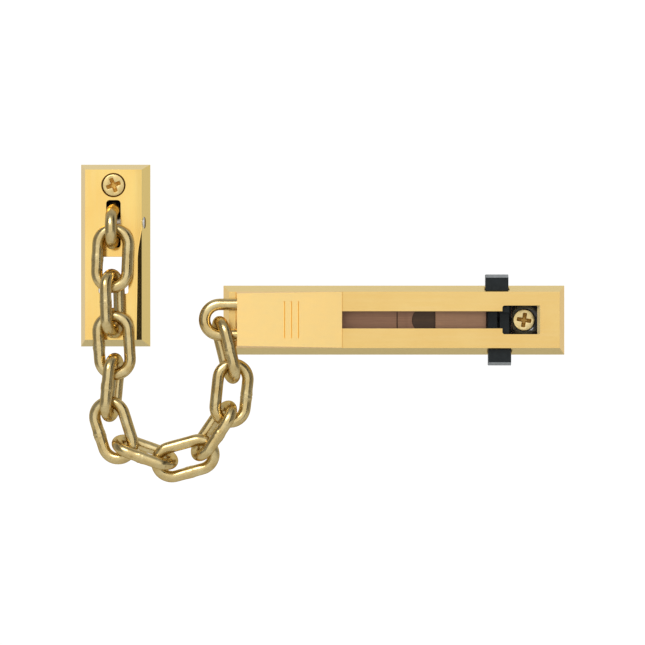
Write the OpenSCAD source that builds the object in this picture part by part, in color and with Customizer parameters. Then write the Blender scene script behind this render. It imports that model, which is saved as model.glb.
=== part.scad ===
// Door chain guard: a rail with a wedge slider on the door, a housing on the
// frame, and a welded chain between them. Shown as it hangs with the door shut.
// +X runs along the rail to its opening, +Z is up and +Y goes into the door.
// The mounting plane is y = 0 and the origin is the middle of the rail's back.
// "Height" below means the distance in front of the mounting plane.

/* [Housings] */
// Height of both housings above the mounting plane
housing_h = 13.5; // [12:0.5:16]
// Thickness of the cast walls
wall = 2.5; // [2:0.1:2.8]
// How far the side walls lean in from back to front
draft = 2.9; // [2:0.1:3.5]

/* [Rail] */
// Length of the rail housing
rail_len = 150; // [150:1:170]
// Width of the rail housing
rail_w = 30.4; // [30.4:0.2:34]
// Width of the long slot
slot_w = 7.5; // [7.3:0.1:8]
// Left end of the long slot
slot_left = -41.2; // [-48:0.2:-41]
// Left edge of the wide opening
mouth_left = 47.1; // [46:0.1:48]
// Right edge of the wide opening
mouth_right = 63.5; // [63:0.1:66]
// Width of the wide opening
mouth_w = 12.5; // [12.2:0.1:13]
// Distance of each rail screw from the rail's middle
rail_screw_x = 57; // [56.5:0.1:57.5]

/* [Frame plate] */
// Width of the frame housing
frame_w = 30.5; // [29:0.5:34]
// Length of the frame housing
frame_len = 80; // [80:1:90]
// Middle of the frame housing, along X
frame_x = -122.4; // [-122.6:0.1:-122.2]
// Middle of the frame housing, along Z
frame_z = 28.4; // [28:0.1:29]
// Height of the chain pin above the mounting plane
pin_h = 9.4; // [9.3:0.1:9.5]
// Position of the chain pin along Z
pin_z = 42.5; // [42.3:0.1:42.7]
// Radius of the chain pin
pin_r = 2.5; // [2.3:0.1:2.6]

/* [Chain] */
// Wire diameter
wire_d = 5.1; // [4.9:0.05:5.2]
// Inner length of a link
pitch = 20; // [19.9:0.05:20.1]
// Outer width of a link
link_w = 18.3; // [18:0.1:18.6]
// Height of the wire centres of the hanging chain
chain_h = 22.7; // [22.6:0.05:23]

/* [Slider] */
// Length of the slider block
slider_len = 46.6; // [46.4:0.1:46.8]
// Left end of the slider block at rest
slider_left = -69.2; // [-69.2:0.1:-68.8]
// Height of the block's thick end
slider_high = 28; // [27.6:0.1:29]
// Height of the block's thin end
slider_low = 16; // [15.5:0.1:16.5]
// Centre of the stud under the block at rest
stud_x = -37; // [-37.2:0.1:-36.8]

/* [Screws] */
// Radius of a screw head
head_r = 4.9; // [4.6:0.1:5]
// Radius of a screw's thread, behind the mounting plane
shank_r = 2.4; // [2.3:0.1:2.5]
// Radius of a screw's plain neck, in front of the mounting plane
neck_r = 2.2; // [2:0.1:2.2]
// Length of a screw
screw_len = 35; // [30:1:45]

/* [Hidden] */
$fn = 64;

brass = "#dcb863";
pale_brass = "#c9b074";
chain_brass = "#b8a468";
black_plastic = "#23282b";
bronze = "#8c6e5c";

slip = 0.05;                          // gap between pieces that are fixed together
head_h = 3;                           // a screw's head, from its top to the neck
head_land = 0.4;                      // straight rim of the head
cavity_h = housing_h - wall;          // depth of the hollow behind each face
face_gap = 0.3;                       // slider's underside above the rail's face

// chain
wire_r = wire_d / 2;
bend_r = (link_w - wire_d) / 2;       // centre-line radius of a link's ends
apex = pitch + wire_d;                // from end wire to end wire
straight = apex - 2 * bend_r;
first_pivot = [-75.95, -0.9];         // end wire of the first link, inside the bow
heading = [-76, -96, -124, -164.5, -199.5, -252.5, -275.5, -266.5, -268.5, -272.5];
roll = [73, -15, 66, -14, 70, -11, 75, -3, 68, -5];
slack = [0.3, 0.9, 1.5, 1.9, 1.6, 1.9, 1.1, 1.7, 1.9, 0.4];
last = len(heading) - 1;

// anchor link, on the pin: it stands out of the frame plate and droops a little
anchor_droop = 13;
pin_gap = 0.3;
anchor_mid = apex / 2 - wire_r - pin_r - pin_gap;
anchor_reach = anchor_mid + straight / 2;
anchor_top_h = pin_h + anchor_reach * cos(anchor_droop);
tail_lean = chain_h - anchor_top_h;   // the last hanging link leans to the plate

function is_long(i) = i % 2 == 0;
function hook(i) = wire_d + slack[i];
function span(i) =
    is_long(i) ? apex
    : i < last ? apex - hook(i) - hook(i + 1)
    : sqrt(apex * apex - tail_lean * tail_lean) - hook(i);
function pivot(i) =
    i == 0 ? first_pivot
    : pivot(i - 1) + span(i - 1) * [cos(heading[i - 1]), sin(heading[i - 1])];

// release buttons
tab_w = 10;                           // along the rail
arm_w = 4.2;
tab_out = 19.9;                       // outer end of a tab from the rail's middle
tab_in = 12.2;
tab_bevel = 1.3;
upper_tab_x = 44.9;
lower_tab_x = 46.1;
upper_arm_x = 43.1;
lower_arm_x = 48.3;
arm_h = [4.5, 6.9];
nose_h = [6.8, 10.4];
nose_z = [-6, -3.2];
tab_h = [3.5, 10.4];
lug_z = [8, 9.5];
lug_h = [1.95, 4.6];
spring_h = 3.2;
spring_r = 0.95;                      // coil centre-line radius
spring_wire_r = 0.22;
spring_turns = 7;
rib_half = 1;                         // rib between the two springs
rib_h = [1.9, 4.4];

stud_head_r = 5.9;
stud_neck_r = 3.45;
stud_head_h = [7.6, 10.6];
block_left = 51.6;                    // catch block, right of the buttons
block_right = 66;
block_h = [1.5, 7.2];

// a flat outline in X and Z, standing from height a to height b
module rise(a, b) {
    translate([0, -a, 0]) rotate([90, 0, 0]) linear_extrude(b - a) children();
}

// a box given by its ranges in X, height and Z
module block(x, h, z) {
    translate([x[0], -h[1], z[0]]) cube([x[1] - x[0], h[1] - h[0], z[1] - z[0]]);
}

// a four-sided frustum on the mounting plane: back half-sizes a and b, height h
module frustum(a, b, h, lean) {
    intersection() {
        translate([0, 0, -b - 1]) linear_extrude(2 * b + 2)
            polygon([[-a, 0], [a, 0], [a - lean, -h], [-a + lean, -h]]);
        translate([-a - 1, 0, 0]) rotate([90, 0, 90]) linear_extrude(2 * a + 2)
            polygon([[0, -b], [0, b], [-h, b - lean], [-h, -b + lean]]);
    }
}

// a cast cover: a frustum that is hollow behind its face
module cover(len_x, len_z) {
    inner_lean = draft * cavity_h / housing_h;
    difference() {
        frustum(len_x / 2, len_z / 2, housing_h, draft);
        translate([0, 0.01, 0])
            frustum(len_x / 2 - wall, len_z / 2 - wall, cavity_h + 0.01, inner_lean);
    }
}

// a round-ended slot outline, centred on the origin
module slot2d(len_x, w, r) {
    translate([-len_x / 2 + r, -w / 2]) square([len_x - 2 * r, w]);
    translate([-len_x / 2, -w / 2 + r]) square([len_x, w - 2 * r]);
    for (x = [-1, 1], z = [-1, 1])
        translate([x * (len_x / 2 - r), z * (w / 2 - r)]) circle(r);
}

// the space that a countersunk screw with its head's top at height top takes up
module screw_space(top, gap) {
    rotate([90, 0, 0]) {
        translate([0, 0, top - head_h])
            cylinder(h = head_h - head_land, r1 = shank_r + gap, r2 = head_r + gap);
        translate([0, 0, top - head_land - 0.001]) cylinder(h = 8, r = head_r + gap);
        translate([0, 0, -20]) cylinder(h = 20 + top - head_h + 0.1, r = shank_r + gap);
    }
}

// countersunk cross-head wood screw, its head's top at height top
module screw(top, turn) {
    point = 5;
    arm = 2.5;                          // the cross in the head
    arm_half_w = 0.6;
    cross_depth = 1.8;
    difference() {
        rotate([90, 0, 0]) {
            translate([0, 0, top - head_land]) cylinder(h = head_land, r = head_r);
            translate([0, 0, top - head_h])
                cylinder(h = head_h - head_land + 0.01, r1 = neck_r, r2 = head_r);
            translate([0, 0, -0.01]) cylinder(h = top - head_h + 0.11, r = neck_r);
            translate([0, 0, top - screw_len + point])
                cylinder(h = screw_len - top - point, r = shank_r);
            translate([0, 0, top - screw_len]) cylinder(h = point + 0.01, r1 = 0.3, r2 = shank_r);
        }
        for (a = [turn, turn + 90])
            rotate([0, a, 0])
                block([-arm, arm], [top - cross_depth, top + 1], [-arm_half_w, arm_half_w]);
    }
}

// one welded link, long axis on X, flat in the XY plane
module ring() {
    for (s = [-1, 1])
        translate([s * straight / 2, 0, 0]) rotate([0, 0, s * -90])
            rotate_extrude(angle = 180) translate([bend_r, 0]) circle(wire_r);
    for (s = [-1, 1])
        translate([-straight / 2 - 0.01, s * bend_r, 0]) rotate([0, 90, 0])
            cylinder(h = straight + 0.02, r = wire_r);
    // the weld, half way along one leg
    for (s = [-1, 1])
        translate([0, bend_r, 0]) rotate([0, s * 90, 0])
            cylinder(h = 1.6, r1 = wire_r + 0.35, r2 = wire_r - 0.01);
}

// hanging link number i, from its pivot along its heading
module hanging_link(i) {
    lean = i == last ? asin(tail_lean / apex) : 0;
    middle = (apex / 2) * cos(lean) - (is_long(i) ? 0 : hook(i));
    at = pivot(i) + middle * [cos(heading[i]), sin(heading[i])];
    color(chain_brass)
        translate([at[0], -chain_h + (apex / 2) * sin(lean), at[1]])
        rotate([0, -heading[i], 0]) rotate([0, 0, lean]) rotate([90 + roll[i], 0, 0]) ring();
}

module chain_link_11() {
    color(chain_brass) translate([frame_x, -pin_h, pin_z]) rotate([anchor_droop, 0, 0])
        translate([0, -anchor_mid, 0]) rotate([0, 0, -90]) rotate([90, 0, 0]) ring();
}

module frame_housing() {
    chain_slot = [31.4, 52.2];
    chain_slot_w = 6.3;
    window = [11.4, 27.5];
    window_w = 13;
    park_low = 5.3;
    color(brass) difference() {
        translate([frame_x, 0, frame_z]) cover(frame_w, frame_len);
        // slot for the chain
        translate([frame_x, 0, (chain_slot[0] + chain_slot[1]) / 2]) rise(cavity_h - 1, housing_h + 1)
            slot2d(chain_slot_w, chain_slot[1] - chain_slot[0], 1.5);
        // window with a narrow end below it, where the slider is parked
        translate([frame_x, 0, (window[0] + window[1]) / 2]) rise(cavity_h - 1, housing_h + 1)
            slot2d(window_w, window[1] - window[0], 1);
        translate([frame_x, 0, (park_low + window[0] + 1) / 2]) rise(cavity_h - 1, housing_h + 1)
            slot2d(slot_w, window[0] + 1 - park_low, 1);
        for (z = frame_screw_z) translate([frame_x, 0, z]) screw_space(screw_top, slip);
        // bore for the chain pin: through the right wall and blind in the left one
        translate([frame_x + pin_ends[0] - slip, -pin_h, pin_z]) rotate([0, 90, 0])
            cylinder(h = frame_w, r = pin_r + slip);
    }
}
frame_screw_z = [frame_z + 30.3, frame_z - 30.3];
screw_top = housing_h - 0.2;            // heads sit just below the faces
low_screw_top = 5;                      // the right rail screw, inside the catch block

// steel plate that closes the back of the housing behind the chain slot
module frame_back_plate() {
    play = 0.4;                         // all round, inside the housing
    lower_edge = 1.5;                 // its lower edge, above the housing's middle
    z = [frame_z + lower_edge, frame_z + frame_len / 2 - wall - play];
    half = frame_w / 2 - wall - play;
    thick = 1;
    color("#3a3c3e") difference() {
        block([frame_x - half, frame_x + half], [0, thick], z);
        translate([frame_x, thick, frame_screw_z[0]]) rotate([90, 0, 0])
            cylinder(h = 4 * thick, r = shank_r + 0.2);
    }
}

pin_ends = [-12, 13.2];                 // left and right end of the pin from the middle
module frame_pin() {
    color("#c4c6c8") translate([frame_x + pin_ends[0], -pin_h, pin_z]) rotate([0, 90, 0])
        cylinder(h = pin_ends[1] - pin_ends[0], r = pin_r);
}

module frame_screws() {
    color(pale_brass) for (z = frame_screw_z)
        translate([frame_x, 0, z]) screw(screw_top, z > frame_z ? -20 : -24);
}

module rail_housing() {
    mouth_slope = 1.1;
    notch_w = tab_w + 1;
    notch_h = [3.1, 10.8];
    notch_z = [9, 16];
    color(brass) difference() {
        cover(rail_len, rail_w);
        rise(cavity_h - 1, housing_h + 1) {
            translate([(slot_left + mouth_left + 2) / 2, 0])
                slot2d(mouth_left + 2 - slot_left, slot_w, 1.2);
            translate([(mouth_left + mouth_right - mouth_slope) / 2, 0])
                slot2d(mouth_right - mouth_slope - mouth_left, mouth_w, 1);
        }
        // the opening's right end slopes in
        translate([mouth_right - mouth_slope, 0, -mouth_w / 2]) linear_extrude(mouth_w)
            polygon([[-1, -cavity_h], [0, -cavity_h], [mouth_slope, -housing_h],
                [mouth_slope, -housing_h - 1], [-1, -housing_h - 1]]);
        translate([-rail_screw_x, 0, 0]) screw_space(screw_top, slip);
        // notches for the two buttons
        block([upper_tab_x - notch_w / 2, upper_tab_x + notch_w / 2], notch_h, notch_z);
        block([lower_tab_x - notch_w / 2, lower_tab_x + notch_w / 2], notch_h, -[notch_z[1], notch_z[0]]);
    }
}

module rail_back_plate() {
    half_len = 72;
    half_w = 12.2;
    thick = 1.4;
    hole_x = 13.9;
    hole_r = 6;
    hole_floor = 0.4;                   // the hole stops short of the back
    seam_x = 1.4;
    color(bronze) difference() {
        block([-half_len, half_len], [0, thick], [-half_w, half_w]);
        for (s = [-1, 1]) translate([s * rail_screw_x, 0, 0]) rotate([90, 0, 0])
            translate([0, 0, -1]) cylinder(h = 4, r = shank_r + 0.2);
        translate([hole_x, -hole_floor, 0]) rotate([90, 0, 0]) cylinder(h = 4, r = hole_r);
        // seam between the two halves of the strip
        block([seam_x - 0.2, seam_x + 0.2], [1, 2], [-13, 13]);
    }
}

module rail_stop_strip() {
    ends = [18.2, 40.4];
    half_w = 9;
    thick = 0.8;
    bottom = 1.45;
    color("#9c8068") block(ends, [bottom, bottom + thick], [-half_w, half_w]);
}

module catch_block() {
    dish_r = 6.1;
    color(black_plastic) difference() {
        union() {
            block([block_left, block_right], block_h, [-9.8, 9.8]);
            // rib that the two springs push against
            block([upper_arm_x - arm_w / 2, block_left + 0.1], rib_h, [-rib_half, rib_half]);
        }
        translate([rail_screw_x, 0, 0]) {
            screw_space(low_screw_top, slip);
            rotate([90, 0, 0]) translate([0, 0, low_screw_top])
                cylinder(h = block_h[1] - low_screw_top + 0.01, r1 = head_r + slip, r2 = dish_r);
        }
    }
}

// thin plate under the two buttons
module release_base() {
    left = 40.6;
    half_w = 9.8;
    color(black_plastic) block([left, block_left - 0.1], [1.45, 1.85], [-half_w, half_w]);
}

module rail_screws() {
    color(pale_brass) {
        translate([-rail_screw_x, 0, 0]) screw(screw_top, 30);
        translate([rail_screw_x, 0, 0]) screw(low_screw_top, 9);
    }
}

// the block's sloping top, as a height above the mounting plane at position x
function slider_top(x) =
    slider_high + (slider_low - slider_high) * (x - slider_left) / slider_len;

module slider_block() {
    base_h = housing_h + face_gap;
    base_half = 12.3;
    side_lean = 1;                    // at the thick end
    end_lean = 1.2;
    leg_depth = 7.3;
    right = slider_left + slider_len;
    grip_x = [-48, -45, -42];
    grip_w = 1.2;
    grip_len = 16;
    slope = atan((slider_high - slider_low) / slider_len);
    color(brass) difference() {
        intersection() {
            translate([0, 0, -20]) linear_extrude(40) polygon([
                [slider_left, -base_h], [right, -base_h],
                [right - 0.2, -slider_low], [slider_left + end_lean, -slider_high]
            ]);
            translate([slider_left - 1, 0, 0]) rotate([90, 0, 90]) linear_extrude(slider_len + 2)
                polygon([
                    [-base_h, -base_half], [-base_h, base_half],
                    [-slider_high, base_half - side_lean], [-slider_high, -base_half + side_lean]
                ]);
        }
        // bores for the bow's legs and the dowel that holds them
        for (s = [-1, 1]) translate([slider_left - 1, -chain_h, s * bend_r])
            rotate([0, 90, 0]) cylinder(h = leg_depth + 1, r = wire_r + slip);
        translate([dowel_x, -chain_h, -dowel_half - 0.1])
            cylinder(h = 2 * dowel_half + 0.2, r = dowel_r + slip);
        // bore for the stud
        translate([stud_x, -base_h + 1, 0]) rotate([90, 0, 0])
            cylinder(h = 1 + stud_grip + 0.05, r = stud_neck_r + slip);
        // grip grooves across the top
        for (x = grip_x) translate([x, -slider_top(x), 0]) rotate([0, 0, slope])
            translate([-grip_w / 2, -0.5, -grip_len / 2]) cube([grip_w, 1.5, grip_len]);
    }
}
dowel_x = -65;
dowel_r = 1.2;
dowel_half = 9.3;
stud_grip = 3.4;

module slider_stud() {
    color(pale_brass) translate([stud_x, 0, 0]) rotate([90, 0, 0]) {
        translate([0, 0, stud_head_h[0]])
            cylinder(h = stud_head_h[1] - stud_head_h[0], r = stud_head_r);
        translate([0, 0, stud_head_h[1] - 0.01])
            cylinder(h = housing_h + face_gap + stud_grip - stud_head_h[1], r = stud_neck_r);
    }
}

module slider_bow() {
    bend_x = -75.65;
    leg_end = slider_left + 7;
    color(chain_brass) translate([bend_x, -chain_h, 0]) difference() {
        rotate([90, 0, 0]) {
            rotate([0, 0, 90]) rotate_extrude(angle = 180) translate([bend_r, 0]) circle(wire_r);
            for (s = [-1, 1]) translate([-0.01, s * bend_r, 0]) rotate([0, 90, 0])
                cylinder(h = leg_end - bend_x, r = wire_r);
        }
        translate([dowel_x - bend_x, 0, -15]) cylinder(h = 30, r = dowel_r + slip);
    }
}

module bow_dowel() {
    color("#9a9a9a") translate([dowel_x, -chain_h, -dowel_half]) cylinder(h = 2 * dowel_half, r = dowel_r);
}

// the upper button; the lower one is the same piece turned over, on its own arm
module release_button(tab_x, arm_x) {
    arm = [arm_x - arm_w / 2, arm_x + arm_w / 2];
    tab = [tab_x - tab_w / 2, tab_x + tab_w / 2];
    color(black_plastic) {
        // the tab, with a bevelled outer end
        translate([tab[0], 0, 0]) rotate([90, 0, 90]) linear_extrude(tab_w) polygon([
            [-tab_h[0], tab_in], [-tab_h[0], tab_out],
            [-tab_h[1] + tab_bevel, tab_out], [-tab_h[1], tab_out - tab_bevel], [-tab_h[1], tab_in]
        ]);
        block(arm, arm_h, [nose_z[0], tab_in + 0.01]);
        block(arm, nose_h, nose_z);
        block([arm[0] + 0.6, arm[1] - 0.6], lug_h, lug_z);
    }
}

module release_button_upper() { release_button(upper_tab_x, upper_arm_x); }
module release_button_lower() { mirror([0, 0, 1]) release_button(lower_tab_x, lower_arm_x); }

// a coil from z = 0 to z = length, as rings of points joined into one tube
module coil(length, turns) {
    steps = turns * 14;
    sides = 6;
    rise_z = length - 2 * spring_wire_r;
    function point(k, j) =
        let (a = 360 * turns * k / steps, b = 360 * j / sides,
             r = spring_r + spring_wire_r * cos(b))
        [r * cos(a), r * sin(a), spring_wire_r + rise_z * k / steps + spring_wire_r * sin(b)];
    points = [for (k = [0:steps], j = [0:sides - 1]) point(k, j)];
    tube = [for (k = [0:steps - 1], j = [0:sides - 1])
        [k * sides + j, k * sides + (j + 1) % sides,
         (k + 1) * sides + (j + 1) % sides, (k + 1) * sides + j]];
    start = [[for (j = [sides - 1:-1:0]) j]];
    end = [[for (j = [0:sides - 1]) steps * sides + j]];
    polyhedron(points, concat(tube, start, end));
}

module release_spring(arm_x) {
    gap = 0.1;
    color("#b0b2b4") translate([arm_x, -spring_h, rib_half + gap])
        coil(lug_z[0] - rib_half - 2 * gap, spring_turns);
}

module release_spring_upper() { release_spring(upper_arm_x); }
module release_spring_lower() { mirror([0, 0, 1]) release_spring(lower_arm_x); }

frame_housing();
frame_back_plate();
frame_pin();
frame_screws();
rail_housing();
rail_back_plate();
rail_stop_strip();
catch_block();
release_base();
rail_screws();
slider_block();
slider_stud();
slider_bow();
bow_dowel();
hanging_link(0);  // chain_link_01
hanging_link(1);  // chain_link_02
hanging_link(2);  // chain_link_03
hanging_link(3);  // chain_link_04
hanging_link(4);  // chain_link_05
hanging_link(5);  // chain_link_06
hanging_link(6);  // chain_link_07
hanging_link(7);  // chain_link_08
hanging_link(8);  // chain_link_09
hanging_link(9);  // chain_link_10
chain_link_11();
release_button_upper();
release_button_lower();
release_spring_upper();
release_spring_lower();
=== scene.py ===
"""Looks of the door chain guard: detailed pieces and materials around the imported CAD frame."""
import bpy, bmesh, math, random
import numpy as np
from mathutils import Vector, Matrix


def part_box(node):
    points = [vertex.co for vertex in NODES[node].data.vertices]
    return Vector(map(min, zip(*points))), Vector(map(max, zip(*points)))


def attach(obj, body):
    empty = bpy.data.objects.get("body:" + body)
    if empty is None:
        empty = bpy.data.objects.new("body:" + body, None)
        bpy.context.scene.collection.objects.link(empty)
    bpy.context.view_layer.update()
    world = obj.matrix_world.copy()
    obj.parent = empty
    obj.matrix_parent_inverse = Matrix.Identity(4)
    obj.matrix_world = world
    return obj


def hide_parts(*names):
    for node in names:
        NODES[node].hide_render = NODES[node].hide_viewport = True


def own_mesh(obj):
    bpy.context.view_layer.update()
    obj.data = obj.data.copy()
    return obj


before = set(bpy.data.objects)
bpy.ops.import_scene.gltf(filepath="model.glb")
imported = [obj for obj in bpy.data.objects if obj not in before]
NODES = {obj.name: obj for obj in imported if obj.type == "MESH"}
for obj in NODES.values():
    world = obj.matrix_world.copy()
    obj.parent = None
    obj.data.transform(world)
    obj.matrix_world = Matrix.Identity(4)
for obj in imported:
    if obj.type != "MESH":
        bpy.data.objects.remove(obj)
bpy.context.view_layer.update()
MM = 0.001

# chain, housing and screw sizes, the same as in the CAD model
WIRE_R = 2.55 * MM
LINK_HALF_W = 9.15 * MM
BEND_R = LINK_HALF_W - WIRE_R
STRAIGHT = 11.9 * MM
HEAD_R = 4.9 * MM
THREAD_R = 2.4 * MM
NECK_R = 2.2 * MM
SCREW_LEN = 35 * MM
SIDE_LEAN = 2.9 * MM      # how far a housing's sides lean in from back to front
LINKS = ["chain_link_%02d" % n for n in range(1, 12)]
SIDES = (("upper", 1), ("lower", -1))     # of the two release buttons


# ---------------------------------------------------------------- materials

def srgb(text):
    """A colour written as six hex digits, as linear RGBA."""
    values = [int(text[i:i + 2], 16) / 255 for i in (0, 2, 4)]
    return [v / 12.92 if v <= 0.04045 else ((v + 0.055) / 1.055) ** 2.4 for v in values] + [1.0]


class Shader:
    """A node material with one Principled shader and short ways to add nodes to it."""

    def __init__(self, name, metallic=0.0, roughness=0.4):
        self.material = bpy.data.materials.new(name)
        self.material.use_nodes = True
        self.tree = self.material.node_tree
        self.shader = self.tree.nodes["Principled BSDF"]
        self.shader.inputs["Metallic"].default_value = metallic
        self.shader.inputs["Roughness"].default_value = roughness
        self.shader.inputs["IOR"].default_value = 1.5
        self.coordinates = self.node("ShaderNodeTexCoord").outputs["Object"]

    def node(self, kind, **settings):
        made = self.tree.nodes.new(kind)
        for key, value in settings.items():
            setattr(made, key, value)
        return made

    def link(self, output, target):
        self.tree.links.new(output, target)

    def feed(self, value, socket):
        """Links another node's output to a socket, or sets the socket to a constant."""
        if hasattr(value, "links"):
            self.link(value, socket)
        else:
            socket.default_value = value

    def parts(self, vector):
        """The X, Y and Z of a vector."""
        split = self.node("ShaderNodeSeparateXYZ")
        self.link(vector, split.inputs[0])
        return split.outputs

    def maths(self, kind, a, b=0.0):
        made = self.node("ShaderNodeMath", operation=kind)
        self.feed(a, made.inputs[0])
        self.feed(b, made.inputs[1])
        return made.outputs[0]

    def spread(self, value, start, end, low, high):
        """Goes smoothly from low to high while the value goes from start to end."""
        made = self.node("ShaderNodeMapRange", interpolation_type="SMOOTHSTEP")
        made.inputs["From Min"].default_value = start
        made.inputs["From Max"].default_value = end
        made.inputs["To Min"].default_value = low
        made.inputs["To Max"].default_value = high
        self.link(value, made.inputs["Value"])
        return made.outputs["Result"]

    def stretched(self, scale):
        """The object's coordinates, stretched along an axis by a small number in scale."""
        mapping = self.node("ShaderNodeMapping")
        mapping.inputs["Scale"].default_value = scale
        self.link(self.coordinates, mapping.inputs["Vector"])
        return mapping.outputs["Vector"]

    def noise(self, scale, detail=3.0, rough=0.5, stretch=None, distortion=0.0):
        made = self.node("ShaderNodeTexNoise")
        made.inputs["Scale"].default_value = scale
        made.inputs["Detail"].default_value = detail
        made.inputs["Roughness"].default_value = rough
        made.inputs["Distortion"].default_value = distortion
        self.link(self.stretched(stretch) if stretch else self.coordinates, made.inputs["Vector"])
        return made.outputs["Fac"]

    def ramp(self, value, *stops):
        """A colour ramp; each stop is (position, colour) or (position, grey level)."""
        made = self.node("ShaderNodeValToRGB")
        elements = made.color_ramp.elements
        while len(elements) < len(stops):
            elements.new(0.5)
        for element, (at, colour) in zip(elements, stops):
            element.position = at
            element.color = colour if isinstance(colour, list) else [colour, colour, colour, 1]
        self.link(value, made.inputs["Fac"])
        return made.outputs["Color"]

    def mix(self, factor, a, b):
        made = self.node("ShaderNodeMix", data_type="RGBA")
        self.feed(factor, made.inputs["Factor"])
        self.feed(a, made.inputs["A"])
        self.feed(b, made.inputs["B"])
        return made.outputs["Result"]

    def bump(self, height, distance, after=None):
        """A bump whose height is given in metres, on top of the normal in after."""
        made = self.node("ShaderNodeBump")
        made.inputs["Distance"].default_value = distance
        self.link(height, made.inputs["Height"])
        if after:
            self.link(after, made.inputs["Normal"])
        return made.outputs["Normal"]

    def finish(self, colour, roughness=None, normal=None):
        self.link(colour, self.shader.inputs["Base Color"])
        if roughness is not None:
            self.link(roughness, self.shader.inputs["Roughness"])
        if normal is not None:
            self.link(normal, self.shader.inputs["Normal"])
        return self.material


def edge_fade(s, tint=(0.98, 0.84, 0.58)):
    """Brass keeps its colour at a glancing angle instead of turning white."""
    s.shader.inputs["Specular Tint"].default_value = (*tint, 1)


def paint_side_reflection(s, tint, up_down, across):
    """Painted reflection: the sloping sides are painted paler than the face, picked by which way each
    face points.
    """
    facing = s.parts(s.node("ShaderNodeNewGeometry").outputs["Normal"])
    for axis, colour in (("Z", up_down), ("X", across)):
        sideways = s.maths("ABSOLUTE", facing[axis])
        tint = s.mix(s.ramp(sideways, (0.5, 0.0), (0.9, 1.0)), tint, srgb(colour))
    return tint


def brass(name, base, deep, rough=(0.14, 0.24), streak=(1, 1, 1), sides=None, bend=None):
    """Plated brass: cloudy tint, fine streaks along the polishing and faint dents."""
    s = Shader(name, metallic=1.0)
    edge_fade(s)
    cloud = s.noise(38, 4, 0.55)
    tint = s.mix(s.ramp(cloud, (0.35, 0.0), (0.7, 1.0)), srgb(deep), srgb(base))
    # painted reflection: paler colours on the sloping sides
    if sides:
        tint = paint_side_reflection(s, tint, *sides)
    streaks = s.noise(900, 5, 0.7, streak)
    tint = s.mix(s.ramp(streaks, (0.45, 0.0), (0.8, 0.10)), tint, srgb("fff3d0"))
    specks = s.ramp(s.noise(1500, 2, 0.6), (0.72, 0.0), (0.8, 0.35))
    tint = s.mix(specks, tint, srgb("8a6a2c"))
    rough_value = s.ramp(s.mix(0.5, streaks, cloud), (0.3, rough[0]), (0.7, rough[1]))
    normal = s.bump(s.noise(60, 2, 0.4), 0.00002, after=bend(s) if bend else None)
    normal = s.bump(streaks, 0.000004, after=normal)
    return s.finish(tint, rough_value, normal)


def frame_face_bend(s):
    """The polished face falls off towards its right edge, the more so the lower down."""
    place = s.parts(s.coordinates)
    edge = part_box("frame_housing")[1][0] - SIDE_LEAN
    upper = s.spread(place["Z"], 45 * MM, 26 * MM, 0.0, 2.3 * MM)
    width = s.maths("ADD", upper, s.spread(place["Z"], 26 * MM, -12 * MM, 0.0, 0.5 * MM))
    reach = s.maths("ADD", place["X"], width)
    steep = s.spread(reach, edge - 0.4 * MM, edge + 0.9 * MM, 0.0, 0.46)
    gentle = s.spread(place["X"], edge - 6 * MM, edge, 0.0, 0.13)
    lift = s.node("ShaderNodeCombineXYZ")
    s.link(s.maths("MAXIMUM", steep, gentle), lift.inputs["X"])
    normal = s.node("ShaderNodeNewGeometry").outputs["Normal"]
    on_face = s.maths("LESS_THAN", s.parts(normal)["Y"], -0.95)
    scaled = s.node("ShaderNodeVectorMath", operation="SCALE")
    s.link(lift.outputs[0], scaled.inputs[0])
    s.link(on_face, scaled.inputs["Scale"])
    added = s.node("ShaderNodeVectorMath", operation="ADD")
    s.link(normal, added.inputs[0])
    s.link(scaled.outputs[0], added.inputs[1])
    unit = s.node("ShaderNodeVectorMath", operation="NORMALIZE")
    s.link(added.outputs[0], unit.inputs[0])
    return unit.outputs[0]


def chain_plating():
    """Brass-plated steel wire: paler and greyer than the castings, with stains and pits."""
    s = Shader("chain_brass", metallic=1.0)
    edge_fade(s, (0.6, 0.47, 0.28))
    cloud = s.noise(210, 4, 0.6)
    tint = s.mix(s.ramp(cloud, (0.3, 0.0), (0.7, 1.0)), srgb("cfb377"), srgb("e2cf9b"))
    stains = s.ramp(s.noise(300, 5, 0.65, distortion=0.8), (0.57, 0.0), (0.76, 0.5))
    tint = s.mix(stains, tint, srgb("8c6932"))
    pits = s.ramp(s.noise(1700, 3, 0.6), (0.70, 0.0), (0.8, 0.4))
    tint = s.mix(pits, tint, srgb("6a5226"))
    rough_value = s.ramp(cloud, (0.3, 0.2), (0.75, 0.31))
    normal = s.bump(s.noise(240, 3, 0.5), 0.00004)
    normal = s.bump(s.noise(2400, 2, 0.6), 0.000005, after=normal)
    return s.finish(tint, rough_value, normal)


def screw_plating(name, dark, light, metallic=1.0):
    """Satin plating of the screws, and of small surfaces beside them: painted shade in the cross
    recesses and countersinks, painted light on the end wall of the rail's wide opening.
    """
    s = Shader(name, metallic=metallic)
    edge_fade(s)
    cloud = s.noise(300, 4, 0.6)
    tint = s.mix(s.ramp(cloud, (0.3, 0.0), (0.7, 1.0)), srgb(dark), srgb(light))
    normal = s.bump(s.noise(1300, 3, 0.6), 0.000012)
    return s.finish(tint, s.ramp(cloud, (0.3, 0.30), (0.7, 0.44)), normal)


def strip_metal(name, base, dark):
    """Bronze-tinted steel strip with fine rolling lines along the rail."""
    s = Shader(name, metallic=0.75)
    lines = s.noise(700, 4, 0.6, (0.03, 1, 1))
    cross = s.noise(260, 3, 0.6, (1, 1, 0.05))
    tint = s.mix(s.ramp(lines, (0.3, 0.0), (0.7, 1.0)), srgb(dark), srgb(base))
    tint = s.mix(s.ramp(cross, (0.55, 0.0), (0.75, 0.35)), tint, srgb(dark))
    return s.finish(tint, s.ramp(lines, (0.3, 0.34), (0.7, 0.5)), s.bump(lines, 0.00001))


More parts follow.
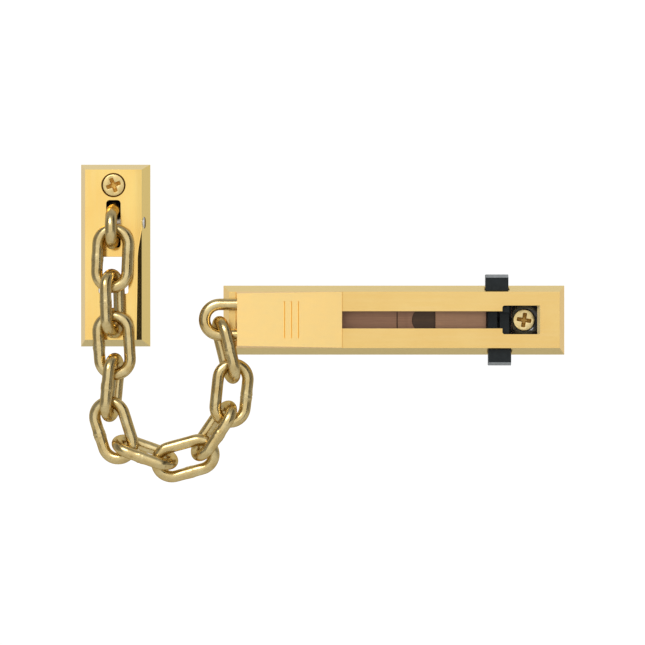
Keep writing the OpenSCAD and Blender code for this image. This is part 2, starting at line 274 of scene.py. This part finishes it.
def black_plastic(name, rough, colour="1c2123", shine=0.18):
    """Moulded plastic with a faint grain."""
    s = Shader(name)
    s.shader.inputs["Specular IOR Level"].default_value = shine
    cloud = s.noise(500, 4, 0.6)
    tint = s.mix(s.ramp(cloud, (0.3, 0.0), (0.7, 0.25)), srgb(colour), srgb("3a4144"))
    normal = s.bump(s.noise(2600, 2, 0.6), 0.00001)
    return s.finish(tint, s.ramp(cloud, (0.3, rough), (0.7, rough + 0.12)), normal)


def steel(name, light, dark, rough):
    """Plain steel with a cloudy finish."""
    s = Shader(name, metallic=1.0)
    cloud = s.noise(240, 5, 0.6)
    tint = s.mix(s.ramp(cloud, (0.3, 0.0), (0.7, 1.0)), srgb(dark), srgb(light))
    return s.finish(tint, s.ramp(cloud, (0.3, rough), (0.7, rough + 0.12)), s.bump(cloud, 0.00001))


M = {
    # the sides= colours below are painted reflection on the housings' sloping sides
    "frame_brass": brass("frame_brass", "ffdd86", "fdd076", (0.10, 0.17), (1, 1, 0.04),
                         sides=("e2d6a4", "e2cd88"), bend=frame_face_bend),
    "rail_brass": brass("rail_brass", "f4d084", "f0c87a", (0.18, 0.28), (0.04, 1, 1),
                        sides=("e6d6a0", "f4d48a")),
    "slider_brass": brass("slider_brass", "ffdd92", "fdd78a", (0.18, 0.28), (0.04, 1, 1)),
    # rough cast finish; its darker colour is partly painted shade in the covers' hollows
    "cast_and_shaded_inside": brass("cast_and_shaded_inside", "a58a55", "8a7346", (0.4, 0.52)),
    "turned_brass": brass("turned_brass", "dcc07c", "c9a961", (0.2, 0.34), (1, 0.05, 1)),
    "chain": chain_plating(),
    "screw": screw_plating("screw_brass", "d2b474", "e2cd92"),
    # painted shade: the screws' cross recesses, darker and more orange than the heads
    "screw_recess": screw_plating("screw_recess", "cfa04a", "dcb058", 0.4),
    # painted light: a lighter copy of the screw plating, with a darker painted-shade recess, for the
    # screw in the catch's bowl
    "low_screw": screw_plating("screw_brass_low", "e8ca88", "f8e4ac"),
    "low_screw_recess": screw_plating("screw_recess_low", "b98f46", "c69c50", 0.35),
    # painted shade: the walls of the widened countersinks
    "ring": screw_plating("countersink", "a0702a", "b07c32", 0.6),
    # painted light: the end wall of the rail's wide opening, pale and dull
    "slope": screw_plating("lit_slope_paint", "ffe09c", "ffe9b0", 0.1),
    "strip": strip_metal("bronze_strip", "c3967a", "98725c"),
    "pale_strip": strip_metal("pale_strip", "cfa282", "a47e64"),
    # painted shade: the dark floor of the blind recess in the back strip
    "shaded_recess_floor": strip_metal("shaded_recess_floor", "705a48", "54443a"),
    "black": black_plastic("black_plastic", 0.30),
    "dish": black_plastic("glossy_black", 0.05, "1a1614", 0.7),
    # painted reflection on the buttons' bevelled ends
    "tab_end_sheen": black_plastic("tab_end_sheen", 0.42, "9a9ea0", 0.5),
    "spring": steel("spring_steel", "c9ccd0", "8e9296", 0.22),
    "pin": steel("pin_steel", "fafaf8", "e2e2e0", 0.3),
    # black steel sheet; its darkness partly stands in for the shade inside the frame's slot
    "dark_steel": steel("dark_steel", "34373a", "1d2022", 0.5),
}


# ---------------------------------------------------------------- mesh helpers

def new_object(name, bm, material, smooth_angle=35):
    """An object made from a bmesh, smooth up to an angle in degrees."""
    mesh = bpy.data.meshes.new(name)
    bm.to_mesh(mesh)
    bm.free()
    obj = bpy.data.objects.new(name, mesh)
    bpy.context.scene.collection.objects.link(obj)
    mesh.materials.append(material)
    shade(obj, smooth_angle)
    return obj


def shade(obj, angle):
    """Smooth shading, with edges sharper than the angle kept sharp."""
    mesh = obj.data
    mesh.polygons.foreach_set("use_smooth", [True] * len(mesh.polygons))
    bm = bmesh.new()
    bm.from_mesh(mesh)
    for edge in bm.edges:
        edge.smooth = len(edge.link_faces) == 2 and edge.calc_face_angle(0) < math.radians(angle)
    bm.to_mesh(mesh)
    bm.free()


def apply_modifiers(obj):
    """Turns the modifiers' result into the object's own mesh."""
    bpy.context.view_layer.update()
    evaluated = obj.evaluated_get(bpy.context.evaluated_depsgraph_get())
    mesh = bpy.data.meshes.new_from_object(evaluated)
    obj.modifiers.clear()
    obj.data = mesh


def from_cad(node, name, material, bevel):
    """A copy of a CAD node with its flat faces made whole and its edges rounded."""
    bm = bmesh.new()
    bm.from_mesh(NODES[node].data)
    bmesh.ops.remove_doubles(bm, verts=bm.verts, dist=1e-6)
    bmesh.ops.dissolve_limit(bm, angle_limit=math.radians(1), verts=bm.verts, edges=bm.edges)
    obj = new_object(name, bm, material)
    modifier = obj.modifiers.new("edges", "BEVEL")
    modifier.width = bevel
    modifier.segments = 3
    modifier.limit_method = "ANGLE"
    modifier.angle_limit = math.radians(32)
    modifier.harden_normals = True
    apply_modifiers(obj)
    return obj


def settle(obj, body, node):
    """The piece rides on its body and stands for its CAD node, which is hidden."""
    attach(obj, body)
    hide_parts(node)


def add_faces_between(bm, rings):
    """Joins rings of as many points each, one after the other."""
    for a, b in zip(rings, rings[1:]):
        for j in range(len(a)):
            following = (j + 1) % len(a)
            bm.faces.new((a[j], a[following], b[following], b[j]))


def close_ends(bm, rings):
    bm.faces.new(rings[0][::-1])
    bm.faces.new(rings[-1])


def tube(name, material, centres, outs, radius, sides=32, closed=True):
    """A tube round a path. outs are unit vectors square to the path; radius(k, angle) is at point k."""
    bm = bmesh.new()
    rings = []
    count = len(centres)
    for k, (centre, out) in enumerate(zip(centres, outs)):
        ahead = centres[(k + 1) % count] if closed else centres[min(k + 1, count - 1)]
        behind = centres[k - 1] if closed else centres[max(k - 1, 0)]
        along = (ahead - behind).normalized()
        side = along.cross(out).normalized()
        ring = []
        for j in range(sides):
            angle = 2 * math.pi * j / sides
            direction = out * math.cos(angle) + side * math.sin(angle)
            ring.append(bm.verts.new(centre + direction * radius(k, angle)))
        rings.append(ring)
    if closed:
        add_faces_between(bm, rings + rings[:1])
    else:
        add_faces_between(bm, rings)
        close_ends(bm, rings)
    bmesh.ops.recalc_face_normals(bm, faces=bm.faces)
    return new_object(name, bm, material, 60)


# ---------------------------------------------------------------- chain

def axes_of(node):
    """The middle and the long, wide and thin directions of a link's CAD solid, wide towards its weld."""
    mesh = NODES[node].data
    points = np.array([v.co[:] for v in mesh.vertices])
    areas = np.array([face.area for face in mesh.polygons])
    centres = np.array([face.center[:] for face in mesh.polygons])
    mean = (centres * areas[:, None]).sum(0) / areas.sum()
    spread = centres - mean
    thin, wide, long = np.linalg.eigh((spread * areas[:, None]).T @ spread)[1].T
    local = points @ np.array([long, wide, thin]).T
    low, high = local.min(0), local.max(0)
    middle = (low + high) / 2
    # the weld widens the link on one side only, so the box's middle moves more than the surface's
    weld_side = 1.0 if middle[1] > mean @ wide else -1.0
    middle[1] += weld_side * (LINK_HALF_W - (high[1] - low[1]) / 2)
    at = middle[0] * long + middle[1] * wide + middle[2] * thin
    return Vector(at), Vector(long), Vector(wide) * weld_side, Vector(thin)


def stadium():
    """Points round a link in its own plane, each with its direction outwards."""
    steps = 22            # along each bend and each leg
    points = []
    for end, start in ((1, -90), (-1, 90)):
        for k in range(steps):
            a = math.radians(start + 180 * k / steps)
            out = Vector((math.cos(a), math.sin(a), 0))
            points.append((Vector((end * STRAIGHT / 2, 0, 0)) + out * BEND_R, out))
        for k in range(steps):
            x = end * (STRAIGHT / 2 - STRAIGHT * k / steps)
            points.append((Vector((x, end * BEND_R, 0)), Vector((0, end, 0))))
    return points


def bell(x, width):
    return math.exp(-(x / width) ** 2)


def make_link(node, seed):
    """A welded link: wire bent round, with a swollen weld and its seam half way along leg +y."""
    rng = random.Random(seed)
    at, long, wide, thin = axes_of(node)
    path = stadium()
    phase = [rng.uniform(0, 6.28) for _ in range(4)]
    seam = rng.uniform(-0.5, 0.5) * MM
    flash = 0.7 * MM      # from the seam to the ridge beside it

    def radius(k, angle):
        point = path[k][0]
        r = WIRE_R - 0.03 * MM
        r += 0.02 * MM * math.sin(3 * angle + phase[0]) * math.sin(k * 0.35 + phase[1])
        if point.y > 0.9 * BEND_R and abs(point.x) < STRAIGHT / 2:
            along = point.x - seam
            r += 0.34 * MM * bell(along, 1.5 * MM) * (0.8 + 0.2 * math.sin(2 * angle + phase[2]))
            r -= 0.2 * MM * bell(along, 0.34 * MM)
            r += 0.05 * MM * bell(along - flash, 0.3 * MM) * math.sin(5 * angle + phase[3])
        return r

    turn = Matrix((long, wide, thin)).transposed()
    centres = [at + turn @ p for p, _ in path]
    outs = [turn @ o for _, o in path]
    settle(tube(node + "_wire", M["chain"], centres, outs, radius), node, node)


def make_bow():
    """The U-shaped end link, its legs running into the slider block."""
    low, high = (Vector(c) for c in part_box("slider_bow"))
    middle = (low + high) / 2
    bend = Vector((low.x + LINK_HALF_W, middle.y, middle.z))
    leg = high.x - 0.1 * MM - bend.x
    leg_steps = 12
    bend_steps = 30
    along_leg = [leg * k / leg_steps for k in range(1, leg_steps + 1)]
    path = [(x, 90) for x in along_leg[::-1]]
    path += [(0, 90 + 180 * k / bend_steps) for k in range(bend_steps + 1)]
    path += [(x, 270) for x in along_leg]
    centres, outs = [], []
    for x, angle in path:
        out = Vector((math.cos(math.radians(angle)), 0, math.sin(math.radians(angle))))
        centres.append(bend + Vector((x, 0, 0)) + out * BEND_R)
        outs.append(out)
    wire = tube("bow_wire", M["chain"], centres, outs, lambda k, a: WIRE_R - 0.03 * MM, closed=False)
    settle(wire, "slider", "slider_bow")


# ---------------------------------------------------------------- screws

def cut_away(obj, cutter):
    """Cuts the cutter's shape out of a piece and removes the cutter."""
    cut = obj.modifiers.new("cut", "BOOLEAN")
    cut.object = cutter
    cut.operation = "DIFFERENCE"
    cut.solver = "EXACT"
    apply_modifiers(obj)
    bpy.data.objects.remove(cutter)


def cross_cutter(top, turn):
    """A tapered cross that points into the head, for cutting its recess. Its sizes are in mm."""
    bm = bmesh.new()
    rings = []
    for depth, reach, half in ((-0.6, 3.5, 1.0), (0.3, 3.1, 0.85), (1.9, 1.3, 0.5)):
        arm = [(half, half), (reach * 0.93, half), (reach, half * 0.5)]
        arm += [(reach, -half * 0.5), (reach * 0.93, -half)]
        ring = []
        for quarter in range(4):
            a = math.radians(turn - 90 * quarter)
            for u, v in arm:
                x = u * math.cos(a) - v * math.sin(a)
                z = u * math.sin(a) + v * math.cos(a)
                ring.append(bm.verts.new(Vector((x, depth, z)) * MM))
        rings.append(ring)
    add_faces_between(bm, rings)
    close_ends(bm, rings)
    bmesh.ops.recalc_face_normals(bm, faces=bm.faces)
    cutter = new_object("cutter", bm, M["screw"])
    cutter.location = top
    return cutter


def turned(name, profile, at, material):
    """A profile of (radius, depth) turned about the Y axis through a point."""
    bm = bmesh.new()
    sides = 64
    rings = []
    for radius, depth in profile:
        ring = []
        for j in range(sides):
            a = 2 * math.pi * j / sides
            around = Vector((radius * math.cos(a), depth, radius * math.sin(a)))
            ring.append(bm.verts.new(at + around))
        rings.append(ring)
    add_faces_between(bm, rings)
    close_ends(bm, rings)
    bmesh.ops.recalc_face_normals(bm, faces=bm.faces)
    return new_object(name, bm, material, 30)


def threaded_shank(name, at, start, end):
    """A wood screw's shank: a plain neck through the plate, then a thread that ends at the point."""
    bm = bmesh.new()
    sides = 40
    lead = 2.2 * MM
    core = 1.65 * MM
    taper = 5.5 * MM
    plain_end = 1.0 * MM - at.y      # just past the mounting plane
    step = 0.16 * MM
    count = int((end - start) / step)
    rings = []
    for k in range(count + 1):
        y = start + (end - start) * k / count
        to_tip = min(1.0, (end - y) / taper)
        grown = min(1.0, max(0.0, (y - plain_end) / (2 * MM)))
        body = NECK_R * 0.985 * (1 - grown) + core * grown
        ring = []
        for j in range(sides):
            a = 2 * math.pi * j / sides
            turn = (y / lead - j / sides) % 1.0
            crest = max(0.0, 1 - abs(turn - 0.5) / 0.22)
            r = body + (THREAD_R * 0.985 - body) * crest * grown
            r = r * to_tip ** 0.8 + 0.05 * MM * (1 - to_tip)
            ring.append(bm.verts.new(at + Vector((r * math.cos(a), y, r * math.sin(a)))))
        rings.append(ring)
    add_faces_between(bm, rings)
    close_ends(bm, rings)
    bmesh.ops.recalc_face_normals(bm, faces=bm.faces)
    return new_object(name, bm, M["screw"], 40)


def make_screw(name, node, at, turn, plating="screw"):
    """at is the middle of the head's top; the screw points along +Y."""
    r = HEAD_R - 0.2 * MM
    profile = [(r * 0.55, 0.0), (r * 0.93, 0.0), (r * 0.985, 0.08 * MM), (r, 0.2 * MM), (r, 0.42 * MM),
               (r * 0.97, 0.6 * MM), (NECK_R, 3.0 * MM), (NECK_R * 0.97, 3.4 * MM)]
    head = turned(name, profile, at, M[plating])
    head.data.materials.append(M[plating + "_recess"])
    cut_away(head, cross_cutter(at, turn))
    soft = head.modifiers.new("soft", "BEVEL")
    soft.width = 0.09 * MM
    soft.segments = 2
    soft.limit_method = "ANGLE"
    soft.angle_limit = math.radians(40)
    apply_modifiers(head)
    # faces sunk in the cross recess get the recess plating, as painted shade
    for face in head.data.polygons:
        sunk = 0.12 * MM < face.center.y - at.y < 2.2 * MM
        from_axis = math.hypot(face.center.x - at.x, face.center.z - at.z)
        face.material_index = 1 if sunk and from_axis < 3.1 * MM else 0
    shade(head, 30)
    shank = threaded_shank(name + "_shank", at, 3.2 * MM, SCREW_LEN)
    settle(head, "plates", node)
    settle(shank, "plates", node)


def screw_places():
    """Middles of the heads' tops: upper and lower on the frame plate, left and right on the rail."""
    low, high = (Vector(c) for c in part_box("frame_screws"))
    x = (low.x + high.x) / 2
    upper = Vector((x, low.y, high.z - HEAD_R))
    lower = Vector((x, low.y, low.z + HEAD_R))
    low, high = (Vector(c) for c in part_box("rail_screws"))
    z = (low.z + high.z) / 2
    left = Vector((low.x + HEAD_R, low.y, z))
    right = Vector((high.x - HEAD_R, high.y - SCREW_LEN, z))
    return upper, lower, left, right


def make_screws():
    upper, lower, left, right = screw_places()
    make_screw("frame_screw_top", "frame_screws", upper, 20)
    make_screw("frame_screw_low", "frame_screws", lower, 24)
    make_screw("rail_screw_left", "rail_screws", left, -30)
    # painted light: this screw gets the lighter copy of the plating
    make_screw("rail_screw_right", "rail_screws", right, -9, "low_screw")


# ---------------------------------------------------------------- castings and small parts

def add_material(obj, material, chosen):
    """Gives a second material to the faces that chosen picks."""
    obj.data.materials.append(material)
    index = len(obj.data.materials) - 1
    for face in obj.data.polygons:
        if chosen(face):
            face.material_index = index


def widen_countersink(cover, screw):
    """Opens the mouth of a screw hole, so that a dark ring shows round the head; its walls get a dark
    brown plating as painted shade.
    """
    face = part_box("rail_housing")[0][1]      # the same height on both housings
    mouth = HEAD_R + 0.42 * MM
    profile = [(mouth, -0.4 * MM), (mouth, 0.0), (HEAD_R + 0.02 * MM, 0.6 * MM),
               (HEAD_R * 0.9, 0.62 * MM)]
    cut_away(cover, turned("mouth", profile, Vector((screw.x, face, screw.z)), M["ring"]))
    # painted shade on the countersink's walls
    ring = cover.data.materials.find("countersink")
    for polygon in cover.data.polygons:
        away = math.hypot(polygon.center.x - screw.x, polygon.center.z - screw.z)
        if away < mouth + 0.05 * MM and abs(polygon.normal.y) < 0.95:
            polygon.material_index = ring


def dull_shaded_hollow(cover, node, depth):
    """The hollow behind a cover's face keeps its rough cast surface, from this depth on, painted darker
    as shade inside the hollow.
    """
    low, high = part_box(node)
    wall = 2.6 * MM

    def is_inside(face):
        x, y, z = face.center
        return (low[1] + depth < y < high[1] - 0.3 * MM
                and low[0] + wall < x < high[0] - wall
                and low[2] + wall < z < high[2] - wall)

    add_material(cover, M["cast_and_shaded_inside"], is_inside)


def make_castings():
    upper, lower, left, right = screw_places()
    frame_cover = from_cad("frame_housing", "frame_cover", M["frame_brass"], 0.35 * MM)
    rail_cover = from_cad("rail_housing", "rail_cover", M["rail_brass"], 0.30 * MM)
    for cover, screws in ((frame_cover, (upper, lower)), (rail_cover, (left,))):
        cover.data.materials.append(M["ring"])
        for screw in screws:
            widen_countersink(cover, screw)
    slope_start = right.x + 4 * MM

    def is_slope(face):
        beside = slope_start < face.center.x < slope_start + 4 * MM
        return beside and face.normal.x < -0.3 and abs(face.center.z) < 6.5 * MM

    # painted light: the sloping end wall beside the wide opening is painted pale
    add_material(rail_cover, M["slope"], is_slope)
    dull_shaded_hollow(frame_cover, "frame_housing", 0.7 * MM)
    dull_shaded_hollow(rail_cover, "rail_housing", 2.4 * MM)
    settle(frame_cover, "plates", "frame_housing")
    settle(rail_cover, "plates", "rail_housing")


def make_slider():
    block = from_cad("slider_block", "wedge_block", M["slider_brass"], 0.28 * MM)
    settle(block, "slider", "slider_block")
    stud = from_cad("slider_stud", "t_stud", M["turned_brass"], 0.25 * MM)
    settle(stud, "slider", "slider_stud")


def make_pins():
    pin = from_cad("frame_pin", "chain_pin", M["pin"], 0.3 * MM)
    settle(pin, "plates", "frame_pin")
    dowel = from_cad("bow_dowel", "bow_dowel_pin", M["spring"], 0.15 * MM)
    settle(dowel, "slider", "bow_dowel")


def make_back_plates():
    """The sheet behind the frame's cover, and the two strips at the bottom of the rail's slot."""
    # the dark back sheet partly stands in for shade inside the chain slot
    sheet = from_cad("frame_back_plate", "frame_back_cover", M["dark_steel"], 0.15 * MM)
    settle(sheet, "plates", "frame_back_plate")
    plate = from_cad("rail_back_plate", "back_strip", M["strip"], 0.08 * MM)
    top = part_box("rail_back_plate")[0][1]

    # painted shade on the floor of the blind recess
    def is_sunk(face):
        return top + 0.3 * MM < face.center.y < top + 1.2 * MM and abs(face.center.x) < 25 * MM

    add_material(plate, M["shaded_recess_floor"], is_sunk)
    settle(plate, "plates", "rail_back_plate")
    strip = from_cad("rail_stop_strip", "stop_strip", M["pale_strip"], 0.08 * MM)
    settle(strip, "plates", "rail_stop_strip")


def make_catch():
    """The block behind the wide opening, with a smooth bowl round its screw."""
    catch = from_cad("catch_block", "catch_body", M["dish"], 0.2 * MM)
    screw = screw_places()[3]
    ball = 11.2           # the bowl is part of a ball of this radius, in mm
    ball_height = 15.1    # of the ball's middle above the mounting plane
    profile = [(4.5, 4.9)]
    for k in range(15):
        height = 4.95 + 0.17 * k
        profile.append((math.sqrt(ball ** 2 - (ball_height - height) ** 2), height))
    profile = [(radius * MM, -height * MM) for radius, height in profile[::-1]]
    cut_away(catch, turned("bowl", profile, Vector((screw.x, 0, screw.z)), M["dish"]))
    shade(catch, 30)
    settle(catch, "plates", "catch_block")


def make_releases():
    """The sheet under the two buttons, and the buttons with their bevelled ends painted pale grey as
    painted reflection.
    """
    base = from_cad("release_base", "release_base_sheet", M["black"], 0.06 * MM)
    settle(base, "plates", "release_base")
    for side, sign in SIDES:
        node = "release_button_" + side
        button = from_cad(node, "button_" + side, M["black"], 0.22 * MM)
        low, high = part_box(node)
        end = high[2] if sign > 0 else -low[2]
        bevel_start = end - 2.0 * MM
        # painted reflection: the bevelled ends are painted pale grey
        add_material(button, M["tab_end_sheen"],
                     lambda face: sign * face.normal.z > 0.3 and sign * face.center.z > bevel_start)
        settle(button, "release_" + side, node)


def coil_rise(k, steps):
    """How far along the spring step k is, from 0 to 1. The turns in the middle lie wider apart."""
    if k in (0, steps):
        return float(k > 0)
    t = k / steps
    return t * 0.86 + 0.07 + 0.07 * math.tanh((t - 0.5) * 14)


def make_springs():
    """Coils between the catch rib and each button's lug, built at one length; the real springs squash as
    a button goes in.
    """
    wire = 0.2 * MM
    turns, per_turn = 7, 26
    steps = turns * per_turn
    for side, sign in SIDES:
        node = "release_spring_" + side
        low, high = (Vector(c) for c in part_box(node))
        middle = (low + high) / 2
        coil_r = (high.x - low.x) / 2 - wire - 0.04 * MM
        room = high.z - low.z
        fixed_end = low.z if sign > 0 else high.z
        near = fixed_end + sign * wire
        centres, outs = [], []
        for k in range(steps + 1):
            a = 2 * math.pi * k / per_turn
            out = Vector((math.cos(a), math.sin(a), 0))
            z = near + sign * (room - 2 * wire) * coil_rise(k, steps)
            centres.append(Vector((middle.x, middle.y, z)) + out * coil_r)
            outs.append(out)
        coil = tube("coil_" + side, M["spring"], centres, outs, lambda k, a: wire, sides=8, closed=False)
        settle(coil, "plates", node)
        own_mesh(coil)


for number, link in enumerate(LINKS):
    make_link(link, 11 + number)
make_bow()
make_screws()
make_castings()
make_slider()
make_pins()
make_back_plates()
make_catch()
make_releases()
make_springs()


# ---------------------------------------------------------------- light, floor and camera

def make_camera():
    """Straight in front of the plates, with its axis a little left of and below the rail's middle."""
    data = bpy.data.cameras.new("camera")
    data.lens = 172.5
    data.sensor_width = 36
    data.shift_x = -0.0395
    data.shift_y = 0.0386
    data.clip_start = 0.05
    camera = bpy.data.objects.new("camera", data)
    camera.location = (-20.2 * MM, -1.36, -12 * MM)
    camera.rotation_euler = (math.radians(90), 0, 0)
    bpy.context.scene.collection.objects.link(camera)
    bpy.context.scene.camera = camera


def make_floor():
    bm = bmesh.new()
    bmesh.ops.create_circle(bm, cap_ends=True, radius=0.85, segments=96)
    s = Shader("floor", roughness=0.9)
    paper = s.noise(30, 3, 0.5)
    floor = new_object("floor", bm, s.finish(s.mix(paper, srgb("f4f4f2"), srgb("fafaf8"))))
    floor.location = (-0.03, 0, -0.25)


def make_world():
    """White to the camera. In reflections bright in front, darker at the sides and pale behind."""
    world = bpy.data.worlds.new("studio")
    bpy.context.scene.world = world
    world.use_nodes = True
    tree = world.node_tree
    tree.nodes.clear()
    split = tree.nodes.new("ShaderNodeSeparateXYZ")
    tree.links.new(tree.nodes.new("ShaderNodeTexCoord").outputs["Generated"], split.inputs[0])

    def levels(axis, *stops):
        """Grey levels along one axis of the direction, each stop being (position, level)."""
        place = tree.nodes.new("ShaderNodeMapRange")
        place.inputs["From Min"].default_value = -1
        tree.links.new(split.outputs[axis], place.inputs["Value"])
        ramp = tree.nodes.new("ShaderNodeValToRGB")
        ramp.color_ramp.interpolation = "EASE"
        elements = ramp.color_ramp.elements
        while len(elements) < len(stops):
            elements.new(0.5)
        for element, (at, grey) in zip(elements, stops):
            element.position = (at + 1) / 2
            element.color = [grey, grey, grey, 1]
        tree.links.new(place.outputs["Result"], ramp.inputs["Fac"])
        return ramp.outputs["Color"]

    def multiply(a, b):
        made = tree.nodes.new("ShaderNodeMix")
        made.data_type = "RGBA"
        made.blend_type = "MULTIPLY"
        made.inputs["Factor"].default_value = 1
        tree.links.new(a, made.inputs["A"])
        tree.links.new(b, made.inputs["B"])
        return made.outputs["Result"]

    depth = levels("Y", (-1.0, 1.04), (-0.76, 1.04), (-0.62, 0.5), (-0.2, 0.25), (0.3, 0.42),
                   (0.9, 0.86))
    side = levels("X", (-0.9, 0.9), (-0.68, 0.25), (-0.55, 1.0), (0.02, 1.0), (0.2, 0.86),
                  (0.38, 1.15), (0.52, 1.15), (0.62, 0.03), (0.78, 0.03), (0.86, 0.9))
    height = levels("Z", (-1.0, 0.6), (-0.2, 0.9), (0.4, 1.0), (1.0, 1.3))
    in_front = levels("Y", (-1.0, 1.0), (-0.2, 1.0), (0.2, 0.0))
    bands = tree.nodes.new("ShaderNodeMix")
    bands.data_type = "RGBA"
    tree.links.new(in_front, bands.inputs["Factor"])
    bands.inputs["A"].default_value = (1, 1, 1, 1)
    tree.links.new(side, bands.inputs["B"])
    reflected = tree.nodes.new("ShaderNodeBackground")
    tree.links.new(multiply(multiply(depth, bands.outputs["Result"]), height), reflected.inputs["Color"])
    seen = tree.nodes.new("ShaderNodeBackground")
    seen.inputs["Color"].default_value = (1, 1, 1, 1)
    seen.inputs["Strength"].default_value = 1.05
    choose = tree.nodes.new("ShaderNodeMixShader")
    tree.links.new(tree.nodes.new("ShaderNodeLightPath").outputs["Is Camera Ray"], choose.inputs["Fac"])
    tree.links.new(reflected.outputs[0], choose.inputs[1])
    tree.links.new(seen.outputs[0], choose.inputs[2])
    tree.links.new(choose.outputs[0], tree.nodes.new("ShaderNodeOutputWorld").inputs["Surface"])


def make_light():
    """A soft key light, from above on the left."""
    data = bpy.data.lights.new("key", "AREA")
    data.shape = "RECTANGLE"
    data.size = 0.7
    data.size_y = 0.5
    data.energy = 7
    light = bpy.data.objects.new("key", data)
    light.location = (-0.5, -1.1, 0.9)
    aim = Vector((-0.03, 0, 0)) - light.location
    light.rotation_euler = aim.to_track_quat("-Z", "Y").to_euler()
    bpy.context.scene.collection.objects.link(light)


make_camera()
make_floor()
make_world()
make_light()
bpy.context.scene.view_settings.view_transform = "Standard"
